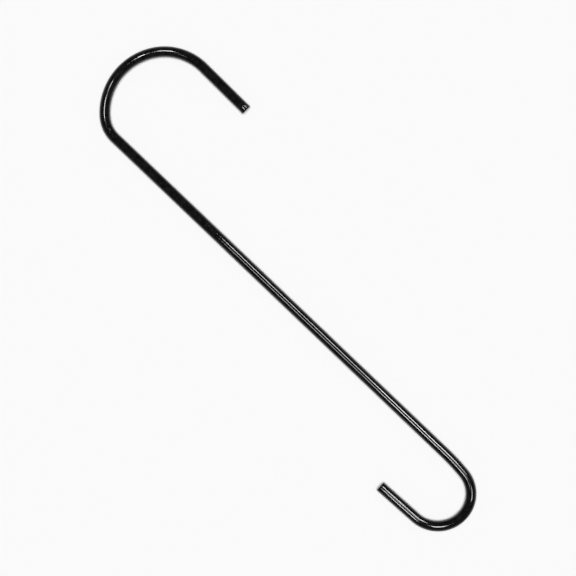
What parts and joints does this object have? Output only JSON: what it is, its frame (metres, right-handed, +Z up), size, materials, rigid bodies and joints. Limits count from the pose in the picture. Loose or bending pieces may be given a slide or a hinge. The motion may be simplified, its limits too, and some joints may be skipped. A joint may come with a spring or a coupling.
{
  "type": "extension hook",
  "caption": "Long S-shaped extension hook bent from round steel rod, with a large open hook, a straight shank and a small open hook, powder coated black.",
  "frame": {"origin": "centre of the overall box on the surface that the hook lies on", "axes": "+Y along the shank towards the large hook, +X across it towards the side on which the large hook opens, +Z up from the surface"},
  "size_m": [0.1074, 0.317, 0.006],
  "materials": {
    "black_powder_coat": "glossy black powder coat over steel rod"
  },
  "bodies": {
    "root": {"extension_hook": "black_powder_coat"}
  },
  "joints": []
}
